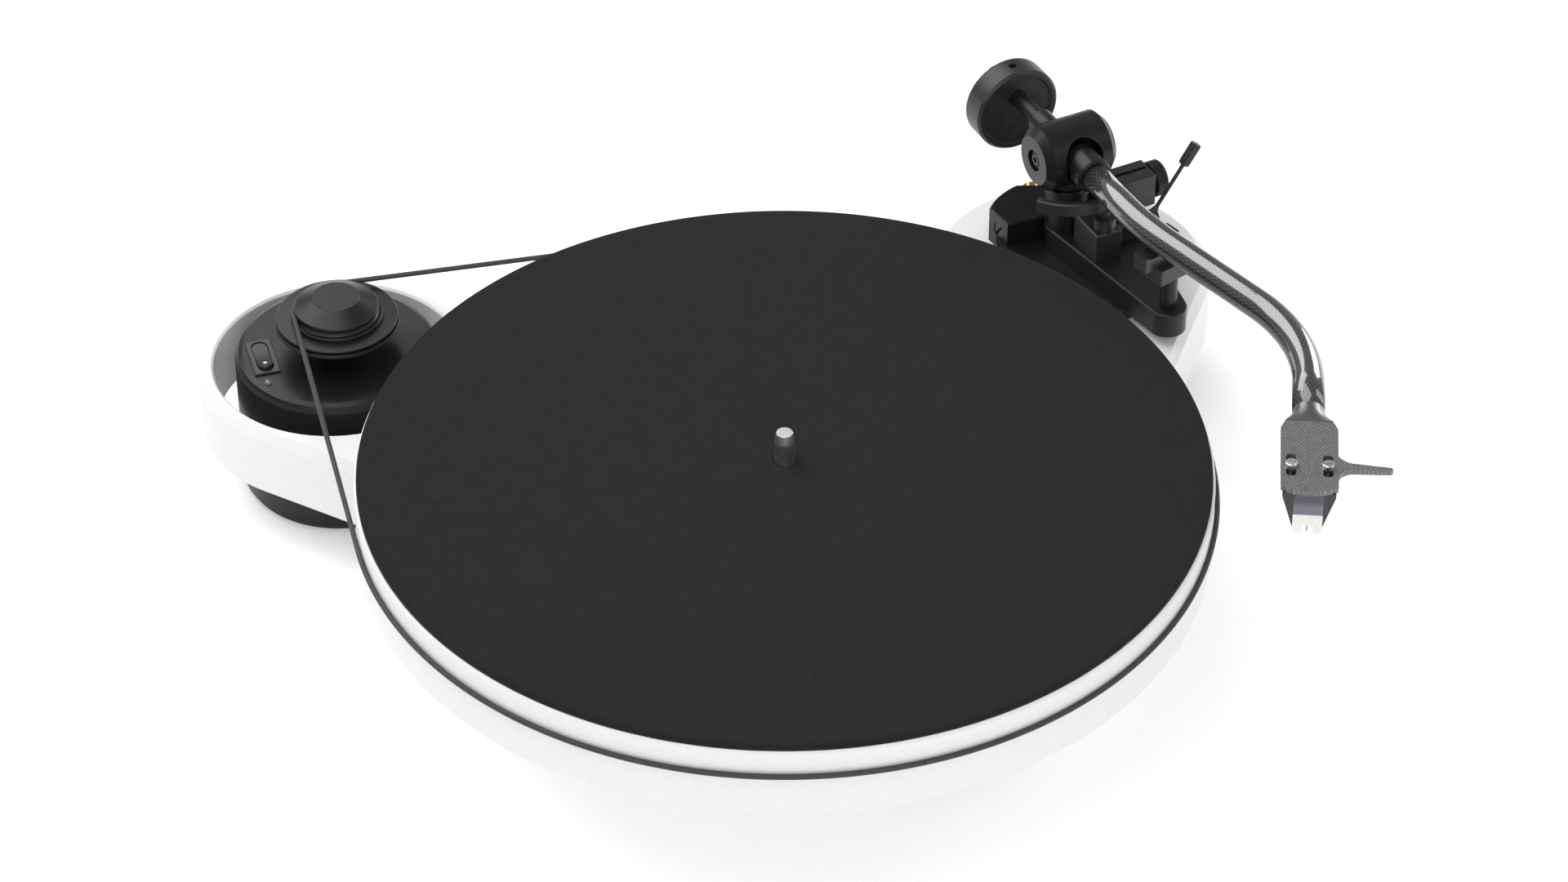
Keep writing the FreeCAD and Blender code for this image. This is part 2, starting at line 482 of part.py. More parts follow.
def make_pillar():
    collar_r = PILLAR_R + 0.8
    outer = turned([
        (0, SPIGOT_Z0), (SPIGOT_R, SPIGOT_Z0), (SPIGOT_R, BASE_Z1 + FIT), (PILLAR_R, BASE_Z1 + FIT),
        (PILLAR_R, PILLAR_Z1 - 3.4), (collar_r, PILLAR_Z1 - 3), (collar_r, PILLAR_Z1 - 0.4),
        (collar_r - 0.4, PILLAR_Z1), (0, PILLAR_Z1)], PIVOT)
    bore_r = PIVOT_SHAFT_R + 0.4
    bore, seats, rings = cyl(bore_r, 67, PILLAR_Z1 + 1, PIVOT), [], []
    for z in RACE_LEVELS:
        seat = cyl(RACE_R, z, z + RACE_H, PIVOT)
        seats.append(seat)
        rings.append(seat.cut(cyl(PIVOT_SHAFT_R + FIT, z - 1, z + RACE_H + 1, PIVOT)))
    save("arm_pillar", outer.cut(bore.multiFuse(seats)))
    save("pivot_bearings", Part.makeCompound(rings))


def make_rest():
    save("rest_post", turned([
        (0, REST_POST_Z0), (REST_POST_R, REST_POST_Z0), (REST_POST_R, REST_POST_Z1 - 0.4),
        (REST_POST_R - 0.4, REST_POST_Z1), (0, REST_POST_Z1)], BAR_END))
    along = frame(CLIP_ANGLE, CLIP)
    outward = 6.1                                   # how far the post stands outside the tube's line
    shift = (BAR_END - CLIP).dot(polar(CLIP_ANGLE))
    near, far, saddle_z0, saddle_z1 = shift - 5.0, shift + 1.6, 88.2, 93.6
    foot = box(near, shift + 4.6, outward - 8.6, outward + 4.2, REST_POST_Z1, saddle_z0)
    saddle = box(near, far, -8.0, 8.2, saddle_z0, saddle_z1)
    inner_lip = box(near, far, -8.0, -5.8, saddle_z1, 94.3)
    outer_lip = box(near, far, 6.0, 8.2, saddle_z1, 100.5)
    clip = foot.multiFuse([saddle, inner_lip, outer_lip]).removeSplitter()
    clip = clip.makeChamfer(0.35, [e for e in clip.Edges if e.BoundBox.ZLength > 2])
    clip.Placement = along.multiply(clip.Placement)
    save("rest_clip", clip)


# ---- arm lift --------------------------------------------------------------------------------------
def make_lift():
    at = PIVOT + polar(LIFT_ANGLE, LIFT_R)
    u, t = (at - PIVOT).dot(ARM_U), (at - PIVOT).dot(ARM_T)
    block_z1, guide_r = 79.0, 4.2
    block = arm_box(11.6, u + guide_r, t - 5.5, t + 5.5, BASE_Z1, block_z1)
    block = block.makeChamfer(0.6, level_edges(block, block_z1))
    housing = block.fuse(cyl(guide_r, BASE_Z1, 84.0, at)).removeSplitter()
    room = arm_box(13.0, u + 2.6, t - 3.2, t + 3.2, BASE_Z1 - 1, block_z1 - 1.4)

    def on_shaft(place):
        return arm(LIFT_SHAFT_U, place, LIFT_SHAFT_Z)

    holes = [room, cyl(PISTON_R + FIT, 70, 86, at),
             rod(on_shaft(t - 3.3), on_shaft(t + 7), LIFT_SHAFT_R + FIT)]
    save("lift_housing", housing.cut(Part.makeCompound(holes)))
    # bar: a flat arc on top of the piston, with the foot that the cam pushes
    half = LIFT_W / 2
    arc = turned([
        (LIFT_R - half, LIFT_Z0), (LIFT_R + half, LIFT_Z0), (LIFT_R + half, LIFT_Z1 - 0.5),
        (LIFT_R + half - 0.5, LIFT_Z1), (LIFT_R - half + 0.5, LIFT_Z1),
        (LIFT_R - half, LIFT_Z1 - 0.5)], PIVOT)
    corners = [PIVOT + polar(angle, 60) for angle in (BAR_FROM, (BAR_FROM + BAR_TO) / 2, BAR_TO)]
    sector = Part.Face(Part.makePolygon([PIVOT] + corners + [PIVOT])).extrude(UP * 120)
    save("lift_bar", arc.common(sector))
    foot_z = LIFT_SHAFT_Z - CAM_OFFSET / 2 + CAM_R + 0.3
    foot = arm_box(14.2, u + PISTON_R, t - 2.2, t + 2.2, foot_z, foot_z + 1.4)
    save("lift_piston", cyl(PISTON_R, foot_z, LIFT_Z0, at).fuse(foot))
    # shaft, with the cam inside the housing and the lever outside
    shaft = rod(on_shaft(t - 3.0), on_shaft(LEVER_T + 2), LIFT_SHAFT_R)
    lean = math.radians(30)
    cam_u = LIFT_SHAFT_U - CAM_OFFSET * math.cos(lean)
    cam_z = LIFT_SHAFT_Z - CAM_OFFSET * math.sin(lean)
    cam = rod(arm(cam_u, t - 2.2, cam_z), arm(cam_u, t + 2.2, cam_z), CAM_R)
    hub = rod(on_shaft(LEVER_T - 2), on_shaft(LEVER_T + 2.4), 3.0)
    root = on_shaft(LEVER_T)
    along = ARM_T * math.sin(math.radians(LEVER_LEAN)) + UP * math.cos(math.radians(LEVER_LEAN))
    rod_end, knob_end = root + along * 24.0, root + along * 33.5
    stem = rod(root, rod_end, 0.8).fuse(Part.makeCone(1.6, 0.8, 3.0, root + along * 2.4, along))
    save("lift_lever", shaft.multiFuse([cam, hub, stem]))
    knob = rod(rod_end, knob_end, 2.2)
    knob = knob.makeChamfer(0.4, knob.Edges)
    flutes = []
    for i in range(6):
        across = FreeCAD.Rotation(along, 60 * i).multVec(ARM_U) * 2.5
        flutes.append(rod(rod_end + along * 1.6 + across, knob_end + across + along, 0.75))
    save("lift_knob", knob.cut(Part.makeCompound(flutes)))


# ---- anti-skate ------------------------------------------------------------------------------------
def make_antiskate():
    half, block_t0, block_t1, block_z1 = 5.6, 9.5, 35.7, 81.0
    block = arm_box(-half, half, block_t0, block_t1, BASE_Z1, block_z1)
    block = block.makeChamfer(0.6, level_edges(block, block_z1))
    room_t1 = block_t1 - 1.5
    room = arm_box(-3.6, 3.6, 16, room_t1, BASE_Z1 + 2.5, block_z1 - 2)
    slot = arm_box(-0.7, 0.7, 19, room_t1, block_z1 - 3, block_z1 + 1)
    bearing = rod(arm(0, 12, SKATE_Z), arm(0, 40, SKATE_Z), SKATE_SCREW_R + FIT)
    clear_pillar = cyl(PILLAR_R + 1.2, BASE_Z1 - 1, block_z1 + 1, PIVOT)
    save("antiskate_block", block.cut(Part.makeCompound([room, slot, bearing, clear_pillar])))
    knob = turned([
        (0, 12.5), (SKATE_SCREW_R, 12.5), (SKATE_SCREW_R, 36.1), (6.6, 36.1), (7.0, 36.5), (7.0, 40.4),
        (6.2, 41.2), (0, 41.2)], arm(0, 0, SKATE_Z), ARM_T)
    notches = []
    for i in range(24):
        out = FreeCAD.Rotation(ARM_T, 15 * i).multVec(UP) * 7.2
        notches.append(rod(arm(0, 36, SKATE_Z) + out, arm(0, 42, SKATE_Z) + out, 0.35))
    save("antiskate_knob", knob.cut(Part.makeCompound(notches)))
    carriage = arm_box(-3.2, 3.2, 25.6, 29.4, SKATE_Z - 3, SKATE_Z + 4.1)
    pointer = arm_box(-0.5, 0.5, 26.9, 28.1, SKATE_Z + 4.1, block_z1 + 0.9)
    thread = rod(arm(0, 24, SKATE_Z), arm(0, 31, SKATE_Z), SKATE_SCREW_R + FIT)
    save("antiskate_pointer", carriage.fuse(pointer).cut(thread))


# ---- tonearm ---------------------------------------------------------------------------------------
def make_yoke():
    at = arm(0, 0, ARM_Z)
    core = turned([
        (0, -YOKE_HALF), (YOKE_R - YOKE_BEVEL, -YOKE_HALF), (YOKE_R, -YOKE_HALF + YOKE_BEVEL),
        (YOKE_R, YOKE_HALF - YOKE_BEVEL), (YOKE_R - YOKE_BEVEL, YOKE_HALF), (0, YOKE_HALF)], at, ARM_T)
    core = core.fuse(cyl(7.5, PILLAR_Z1 + 0.3, 92, PIVOT))
    beyond, ring_seat = YOKE_HALF + 1, 12.6
    cuts = [rod(at - ARM_T * 8.6, at + ARM_T * 8.6, 8.8),
            rod(at - ARM_T * beyond, at + ARM_T * beyond, PIVOT_SCREW_R),
            rod(at - ARM_T * beyond, at - ARM_T * ring_seat, 4.2),
            rod(at + ARM_T * ring_seat, at + ARM_T * beyond, 4.2),
            tilt_sweep(arm(4, 0, ARM_Z), arm(24, 0, ARM_Z), 7.8),
            tilt_sweep(arm(-4, 0, ARM_Z), arm(-24, 0, ARM_Z), 5.8),
            cyl(PIVOT_SHAFT_R, 80, 90, PIVOT)]
    save("arm_yoke", core.cut(Part.makeCompound(cuts)))
    save("pivot_shaft", cyl(PIVOT_SHAFT_R, 67.6, 90, PIVOT))
    screws, rings = [], []
    for sign in (-1, 1):
        out = ARM_T * sign
        screw = turned([
            (0, 5.2), (PIVOT_PIN_R, 5.2), (PIVOT_PIN_R, 7.2), (PIVOT_SCREW_R, 8.2), (PIVOT_SCREW_R, 14.1),
            (PIVOT_SCREW_R - 0.3, 14.4), (0, 14.4)], at, out)
        screws.append(screw.cut(rod(at + out * 12.9, at + out * 15, 1.2)))
        rings.append(turned([
            (PIVOT_SCREW_R, ring_seat), (3.7, ring_seat), (3.7, 13.5), (3.4, 13.8), (PIVOT_SCREW_R, 13.8)],
            at, out))
    save("pivot_screws", Part.makeCompound(screws + rings))


def arm_path(start, end):
    """Straight runs joined by tangent arcs, through the arm's two bends."""
    edges, last = [], start
    points = [start] + [p for p, r in ARM_BENDS] + [end]
    for i, (corner, radius) in enumerate(ARM_BENDS, 1):
        before = (points[i] - points[i - 1]).normalize()
        after = (points[i + 1] - points[i]).normalize()
        turn = before.getAngle(after)
        cut = radius * math.tan(turn / 2)
        first, second = corner - before * cut, corner + after * cut
        bulge = (after - before).normalize() * (radius / math.cos(turn / 2) - radius)
        edges.append(Part.LineSegment(last, first).toShape())
        edges.append(Part.Arc(first, corner + bulge, second).toShape())
        last = second
    edges.append(Part.LineSegment(last, end).toShape())
    return Part.Wire(edges)


def head(w, s, z):
    return V(SLOTS.x, SLOTS.y, 0) + HEAD_W * w + HEAD_S * s + UP * z


def short_lengths(tube, path):
    """The one tube as short solids that meet face to face, so that collision hulls follow its bends."""
    lengths, rest = [], tube
    for edge, count in zip(path.Edges, TUBE_LENGTHS):
        reach = edge.Length + TUBE_R1
        for i in range(1, count + 1):
            at = edge.FirstParameter + (edge.LastParameter - edge.FirstParameter) * i / count
            behind = Part.makeCylinder(4 * TUBE_R1, reach, edge.valueAt(at), edge.tangentAt(at) * -1)
            lengths += rest.common(behind).Solids
            rest = rest.cut(behind)
    return Part.makeCompound(lengths)


def make_tube():
    start, end = arm(TUBE_START, 0, ARM_Z), head(BILL_START, 0, ARM_Z)
    path = arm_path(start, end)

    def shell(r0, r1):
        first = Part.Wire([Part.makeCircle(r0, start, ARM_U)])
        last = Part.Wire([Part.makeCircle(r1, end, HEAD_W)])
        return path.makePipeShell([first, last], True, False)

    tube = shell(TUBE_R0, TUBE_R1).cut(shell(TUBE_R0 - TUBE_WALL, TUBE_R1 - TUBE_WALL))
    save("arm_tube", short_lengths(tube, path))


def make_arm_block():
    cross_r = 5.6
    cross = rod(arm(0, -6.4, ARM_Z), arm(0, 6.4, ARM_Z), cross_r)
    cross = cross.fuse(rod(arm(-cross_r, 0, ARM_Z), arm(TUBE_START, 0, ARM_Z), 4.6))
    sockets = []
    for sign in (-1, 1):
        sockets.append(rod(arm(0, sign * 4.8, ARM_Z), arm(0, sign * 8, ARM_Z), PIVOT_PIN_R + FIT))
    save("arm_block", cross.cut(Part.makeCompound(sockets)))
    bore_r, collar_r, collar_end = TUBE_R0 + 0.06, 7.0, 19.6
    save("tube_collar", turned([
        (4.6, 6.5), (collar_r - 0.6, 6.5), (collar_r, 7.1), (collar_r, collar_end - 0.8),
        (collar_r - 0.6, collar_end), (bore_r, collar_end), (bore_r, TUBE_START), (4.6, TUBE_START)],
        arm(0, 0, ARM_Z), ARM_U))
    save("rear_stub", turned([
        (0, 5.6), (4.6, 5.6), (5.0, 6.4), (5.0, 21.4), (4.4, 22.2), (STUB_R, 22.2),
        (STUB_R, STUB_END - 0.6), (STUB_R - 0.6, STUB_END), (0, STUB_END)], arm(0, 0, ARM_Z), ARM_U * -1))


def make_counterweight():
    low = arm(0, 0, ARM_Z - WEIGHT_DROP)
    far = WEIGHT_NEAR + WEIGHT_L
    body = turned([
        (0, WEIGHT_NEAR + 1.0), (WEIGHT_R - 3.0, WEIGHT_NEAR + 1.0), (WEIGHT_R - 2.4, WEIGHT_NEAR),
        (WEIGHT_R - 1.0, WEIGHT_NEAR), (WEIGHT_R, WEIGHT_NEAR + 1.0), (WEIGHT_R, far - 1.0),
        (WEIGHT_R - 1.0, far), (0, far)], low, ARM_U * -1)
    middle = arm(-(WEIGHT_NEAR + far) / 2, 0, 0)
    bore = rod(arm(-WEIGHT_NEAR + 1, 0, ARM_Z), arm(-far - 1, 0, ARM_Z), STUB_R + FIT)
    screw_r, screw_z1 = 1.5, ARM_Z + 9.2
    save("counterweight", body.cut(bore).cut(cyl(screw_r, ARM_Z, ARM_Z + 20, middle)))
    screw = cyl(screw_r, ARM_Z + STUB_R + 0.4, screw_z1, middle)
    save("counterweight_screw", screw.cut(cyl(0.75, screw_z1 - 1.4, screw_z1 + 1, middle)))


def make_headshell():
    z1, z0 = HEADSHELL_TOP, HEADSHELL_TOP - HEADSHELL_T
    h = HEADSHELL_HALF
    front, corner, shoulder = 14.3, 11.6, -20.6
    bill_half = 8.4
    edge = [head(BILL_END - 1.0, -bill_half + 0.5, z0), head(BILL_END, -bill_half, z0),
            head(shoulder, -h, z0), head(corner, -h, z0)]
    wire = [Part.LineSegment(a, b).toShape() for a, b in zip(edge, edge[1:])]
    wire.append(Part.Arc(head(corner, -h, z0), head(front, 0, z0), head(corner, h, z0)).toShape())
    other = [head(corner, h, z0), head(shoulder, h, z0), head(BILL_END, bill_half, z0),
             head(BILL_END - 1.0, bill_half - 0.5, z0), edge[0]]
    wire += [Part.LineSegment(a, b).toShape() for a, b in zip(other, other[1:])]
    plate = Part.Face(Part.Wire(wire)).extrude(UP * HEADSHELL_T)
    # the bill: round where it meets the tube, flat where it meets the plate
    sections = []
    for w, half, tall, z in ((BILL_START, TUBE_R1, TUBE_R1, ARM_Z),
                             (BILL_START + 1.5, TUBE_R1 + 0.1, TUBE_R1 - 0.1, ARM_Z),
                             (BILL_START + 5.5, 7.1, 3.4, 101.9), (BILL_END, bill_half, 1.0, 104.0)):
        # an ellipse's first radius is its larger one, here across the headshell
        ellipse = Part.Ellipse(V(0, 0, 0), half, tall - 1e-4)
        shape = ellipse.toShape()
        turn = FreeCAD.Rotation(HEAD_S, UP, HEAD_S.cross(UP), "ZXY")
        shape.Placement = FreeCAD.Placement(head(w, 0, z), turn)
        sections.append(Part.Wire([shape]))
    bill = Part.makeLoft(sections, True, False)
    # finger lift: a tapered tab with a rounded end
    root0, root1, reach, tip = -5.0, 5.6, h + 18.6, 0.9
    tab = [[(root0 - 1, h - 1), (root0 - 1, h)],
           [(root0 - 1, h), (root0 + 2.0, h + 2.8), (root0 + 2.9, h + 6.5)],
           [(root0 + 2.9, h + 6.5), (-tip, reach - tip)],
           [(-tip, reach - tip), (0, reach), (tip, reach - tip)],
           [(tip, reach - tip), (root1 - 4.2, h + 5.5)],
           [(root1 - 4.2, h + 5.5), (root1 - 2.6, h + 1.6), (root1 + 1, h)],
           [(root1 + 1, h), (root1 + 1, h - 1)],
           [(root1 + 1, h - 1), (root0 - 1, h - 1)]]
    edges = []
    for run in tab:
        points = [head(w, s, z0) for w, s in run]
        edges.append((Part.Arc(*points) if len(points) == 3 else Part.LineSegment(*points)).toShape())
    lift = Part.Face(Part.Wire(edges)).extrude(UP * HEADSHELL_T)
    slots = []
    for sign in (-1, 1):
        s, half = sign * SLOT_PITCH / 2, (SLOT_L - SLOT_W) / 2
        ends = [head(half, s, 0), head(-half, s, 0)]
        slots.append(slab([(p.x, p.y, SLOT_W / 2) for p in ends], z0 - 1, z1 + 1))
    save("headshell", plate.multiFuse([bill, lift]).cut(Part.makeCompound(slots)))


def wedge(points, half, s=0.0):
    """Prism across the headshell from a side outline of (w, z) points, with its middle at s."""
    outline = [head(w, s - half, z) for w, z in points]
    return Part.Face(Part.makePolygon(outline + outline[:1])).extrude(HEAD_S * (2 * half))


def make_cartridge():
    z1, beyond = HEADSHELL_TOP - HEADSHELL_T, 15
    section = ((-CART_TOP_HALF, z1), (-CART_TOP_HALF, z1 - 1.6), (-CART_LOW_HALF, CART_Z0),
               (CART_LOW_HALF, CART_Z0), (CART_TOP_HALF, z1 - 1.6), (CART_TOP_HALF, z1))
    points = [head(CART_BACK, s, z) for s, z in section]
    face = Part.Face(Part.makePolygon(points + points[:1]))
    body = face.extrude(HEAD_W * (CART_FRONT - CART_BACK))
    seat = wedge([(-5.2, SEAT_Z), (beyond, SEAT_Z), (beyond, 85), (-5.2, 85)], GUARD_HALF + 0.05)
    panel_w, panel_z = CART_FRONT - 0.8, z1 - 0.1
    recess = wedge([(panel_w, panel_z), (beyond, panel_z), (beyond, SEAT_Z), (panel_w, SEAT_Z)], GUARD_HALF)
    screws, nuts, holes = screws_and_nuts()
    save("cartridge_body", body.cut(Part.makeCompound([seat, recess] + holes)))
    front, foot = CART_FRONT + 0.1, SEAT_Z + 0.1
    panel = [(panel_w, panel_z), (front, panel_z), (front, foot), (panel_w, foot)]
    save("cartridge_panel", wedge(panel, GUARD_HALF))
    save("cartridge_screws", Part.makeCompound(screws + nuts))
    pins = []
    for s, z in ((-3, 94.5), (-3, 99.5), (3, 94.5), (3, 99.5)):
        pins.append(rod(head(CART_BACK, s, z), head(CART_BACK - 4, s, z), 0.6))
    save("cartridge_pins", Part.makeCompound(pins))


def screws_and_nuts():
    """The two screws through the headshell, their nuts, and the room that they need in the cartridge."""
    head_top = HEADSHELL_TOP + 2.2
    screws, nuts, holes = [], [], []
    for sign in (-1, 1):
        s = sign * SLOT_PITCH / 2
        at = head(CART_SCREW_W, s, 0)
        hole = cyl(CART_SCREW_R, 95, HEADSHELL_TOP - 1, at)
        holes += [hole, wedge([(-3, 98.6), (5, 98.6), (5, 96.2), (-3, 96.2)], 2.5, s)]
        nuts.append(wedge([(-1.2, 98.5), (3.2, 98.5), (3.2, 96.3), (-1.2, 96.3)], 2.2, s).cut(hole))
        screw = turned([
            (0, CART_SCREW_Z0), (CART_SCREW_R, CART_SCREW_Z0), (CART_SCREW_R, HEADSHELL_TOP),
            (CART_HEAD_R, HEADSHELL_TOP), (CART_HEAD_R, head_top - 0.3), (CART_HEAD_R - 0.3, head_top),
            (0, head_top)], at)
        groove = box(-3, 3, -0.25, 0.25, head_top - 0.7, head_top + 1)
        screws.append(screw.cut(placed(groove, HEADSHELL_ANGLE + 90 + 8 * sign, at)))
    return screws, nuts, holes


def make_stylus():
    side = [(-5.0, SEAT_Z), (13.0, SEAT_Z), (15.6, 87.9), (15.2, 87.2), (9.0, 87.2), (-5.0, 89.4)]
    channel = wedge([(1.0, 91.4), (12.6, 90.6), (17, 90.2), (17, 85), (1.0, 85)], 1.7)
    save("stylus_holder", wedge(side, GUARD_HALF).cut(channel))
    start, end = head(1.6, 0, 90.2), head(14.6, 0, 87.7)
    along = (end - start).normalize()
    lever = rod(start, end, 0.35)
    tip = Part.makeCone(0.28, 0.03, 1.0, end - along * 0.6, UP * -1)
    hinge = start + along * 0.8
    damper = rod(hinge - HEAD_S * 0.8, hinge + HEAD_S * 0.8, 0.85)
    save("stylus_cantilever", lever.multiFuse([tip, damper]))


MAKERS = [
    make_plinth, make_feet, make_bearing, make_platter, make_motor_unit, make_switch, make_motor,
    make_pulley, make_belt, make_arm_base, make_sockets, make_pillar, make_rest, make_lift,
    make_antiskate, make_yoke, make_tube, make_arm_block, make_counterweight, make_headshell,
    make_cartridge, make_stylus]

for maker in MAKERS:
    maker()

os.makedirs("parts", exist_ok=True)
for name, shape in PARTS.items():
    shape.exportStep(os.path.join("parts", name + ".step"))
    state = "" if shape.isValid() and shape.Solids else "  NOT VALID"
    print(f"{name}: {len(shape.Solids)} solids, {shape.Volume / 1000:.2f} cm3{state}")
print(len(PARTS), "nodes")
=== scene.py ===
import math

import bmesh
import bpy
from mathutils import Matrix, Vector, noise


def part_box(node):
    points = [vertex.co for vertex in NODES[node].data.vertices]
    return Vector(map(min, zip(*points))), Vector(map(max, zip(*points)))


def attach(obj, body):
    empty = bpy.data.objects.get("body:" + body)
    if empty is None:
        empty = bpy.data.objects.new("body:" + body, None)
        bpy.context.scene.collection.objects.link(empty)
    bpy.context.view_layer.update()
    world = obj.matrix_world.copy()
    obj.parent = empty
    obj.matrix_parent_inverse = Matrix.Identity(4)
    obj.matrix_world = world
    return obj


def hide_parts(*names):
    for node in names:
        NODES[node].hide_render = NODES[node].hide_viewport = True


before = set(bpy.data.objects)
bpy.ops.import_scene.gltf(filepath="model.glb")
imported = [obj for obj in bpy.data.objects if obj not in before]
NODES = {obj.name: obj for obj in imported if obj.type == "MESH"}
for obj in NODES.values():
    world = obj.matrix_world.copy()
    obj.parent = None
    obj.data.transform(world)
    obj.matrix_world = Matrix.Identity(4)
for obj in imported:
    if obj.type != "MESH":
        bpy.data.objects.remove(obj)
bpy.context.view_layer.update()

RIGHT, BACK, UP = Vector((1, 0, 0)), Vector((0, 1, 0)), Vector((0, 0, 1))
MM = 0.001


def middle(node):
    low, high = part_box(node)
    return (low + high) / 2


def heading(degrees):
    angle = math.radians(degrees)
    return Vector((math.cos(angle), math.sin(angle), 0))


# ---- the tonearm and belt, measured from the platter's axis ------------------------------------------
AXIS = Vector((middle("record_spindle").x, middle("record_spindle").y, 0))
PIVOT = middle("pivot_screws")
ALONG_ARM = heading(-62.7)
ALONG_HEAD = heading(-94.5)
TUBE_START = PIVOT + ALONG_ARM * 10 * MM
SLOTS = AXIS + Vector((179.8, -26.4, 100.0)) * MM      # midway between the headshell's slots
TUBE_END = SLOTS - ALONG_HEAD * 35 * MM
# where the straight runs would meet, and the radius of the bend there
BENDS = [(AXIS + Vector((131.4, 118.7, 100.0)) * MM, 150 * MM),
         (AXIS + Vector((186.0, 51.9, 100.0)) * MM, 65 * MM)]
BEND_STEPS = 28
TUBE_R0, TUBE_R1 = 5.2 * MM, 5.8 * MM                  # the tube widens towards the headshell
TUBE_SIDES = 72
SKIN_UV = "along_and_round"
TUBE_CELLS = 2.8 * MM, 1.6 * MM                        # length and width of the weave's cells
HEAD_CELLS = 2.1 * MM, 1.5 * MM
NECK = 24.5 * MM                                       # how far behind the slots the headshell's neck starts
COAT_IOR = 2.0                                         # thick clear coat
BELT_SIDES, RIM_STEPS, PULLEY_STEPS = 20, 180, 48

# ---- the felt mat ------------------------------------------------------------------------------------
SPINDLE_HOLE_R = 3.85 * MM
EDGE = 0.35 * MM                                       # width of the rounded cut edge
FOOT_IN, SIDE_IN = 0.2 * MM, 0.05 * MM                 # how far the edge's foot and side stand in
FRAY, FRAY_GRAIN = 0.08 * MM, 60                       # how ragged the edge is
WAVE, WAVE_GRAIN = 0.06 * MM, 35                       # how far the top is from flat
MAT_SIDES, MAT_RINGS = 256, 60

# ---- the switch --------------------------------------------------------------------------------------
ROCKER = "power_rocker"
DOT_R = 0.75 * MM
DOT_OUT = heading(286.5) * 4.8 * MM                    # from the rocker's middle

# where the turned pieces have their axes
TURNED = {
    "pulley": UP, "record_spindle": UP, "bearing_shaft": UP, "motor_shaft": UP, "bearing_flange": UP,
    "motor_housing": UP, "motor_base": UP, "motor_can": UP, "motor_bushes": UP, "platter_hub": UP,
    "counterweight": ALONG_ARM, "rear_stub": ALONG_ARM, "tube_collar": ALONG_ARM, "lift_piston": UP,
}


# ---- camera, light and floor -------------------------------------------------------------------------
CAMERA_AT = Vector((0.00383, -1.4124, 1.1889))
CAMERA_AIM = Vector((0.00383, -0.0229, 0.086))
CAMERA_LENS, SENSOR_WIDTH = 116.23, 36     # millimetres
FLOOR_HALF, FLOOR_GRAIN, FLOOR_GLOW = 4.0, 0.4, 0.22
PLAYER_MIDDLE = (0, 0, 0.05)
TUBE_MIDDLE = (0.15, 0.05, 0.1)
TUBE_FRONT = (0.19, -0.03, 0.1)
# overhead and front boxes light the player; the two at the back lie along the tube's gloss
SOFTBOXES = [
    # name, place, aim, width, depth, watts
    ("key", (-0.45, -0.35, 1.55), PLAYER_MIDDLE, 1.7, 1.3, 15),
    ("front", (0.35, -1.9, 0.9), PLAYER_MIDDLE, 1.6, 0.9, 14),
    ("side", (1.5, -0.2, 0.75), PLAYER_MIDDLE, 0.5, 1.3, 4),
    ("back_left", (-0.95, 1.0, 1.35), TUBE_MIDDLE, 1.9, 1.15, 24),
    ("back_right", (1.15, 1.3, 0.6), TUBE_FRONT, 0.7, 0.7, 9),
]
SKY_COLOUR, SKY_STRENGTH = (0.93, 0.95, 1.0, 1), 0.26


def look(obj, at, aim):
    obj.location = at
    obj.rotation_euler = (aim - at).to_track_quat("-Z", "Y").to_euler()


def make_camera():
    data = bpy.data.cameras.new("camera")
    data.lens = CAMERA_LENS
    data.sensor_width = SENSOR_WIDTH
    camera = bpy.data.objects.new("camera", data)
    bpy.context.scene.collection.objects.link(camera)
    look(camera, CAMERA_AT, CAMERA_AIM)
    bpy.context.scene.camera = camera


def softbox(name, at, aim, width, depth, watts):
    data = bpy.data.lights.new(name, "AREA")
    data.shape = "RECTANGLE"
    data.size = width
    data.size_y = depth
    data.energy = watts
    light = bpy.data.objects.new(name, data)
    bpy.context.scene.collection.objects.link(light)
    look(light, Vector(at), Vector(aim))


def make_light():
    for row in SOFTBOXES:
        softbox(*row)
    world = bpy.data.worlds.new("studio")
    world.use_nodes = True
    sky = world.node_tree.nodes["Background"]
    sky.inputs["Color"].default_value = SKY_COLOUR
    sky.inputs["Strength"].default_value = SKY_STRENGTH
    bpy.context.scene.world = world
    bpy.context.scene.view_settings.view_transform = "Standard"


# ---- finishes ----------------------------------------------------------------------------------------
MIX_FACTOR, MIX_COLOURS, MIX_RESULT = 0, (6, 7), 2   # the Mix node's sockets when it mixes colours
LATHE_SLANT = 1.31               # sets the lines on round walls apart from those on end faces


def grey(level):
    return (level, level, level)


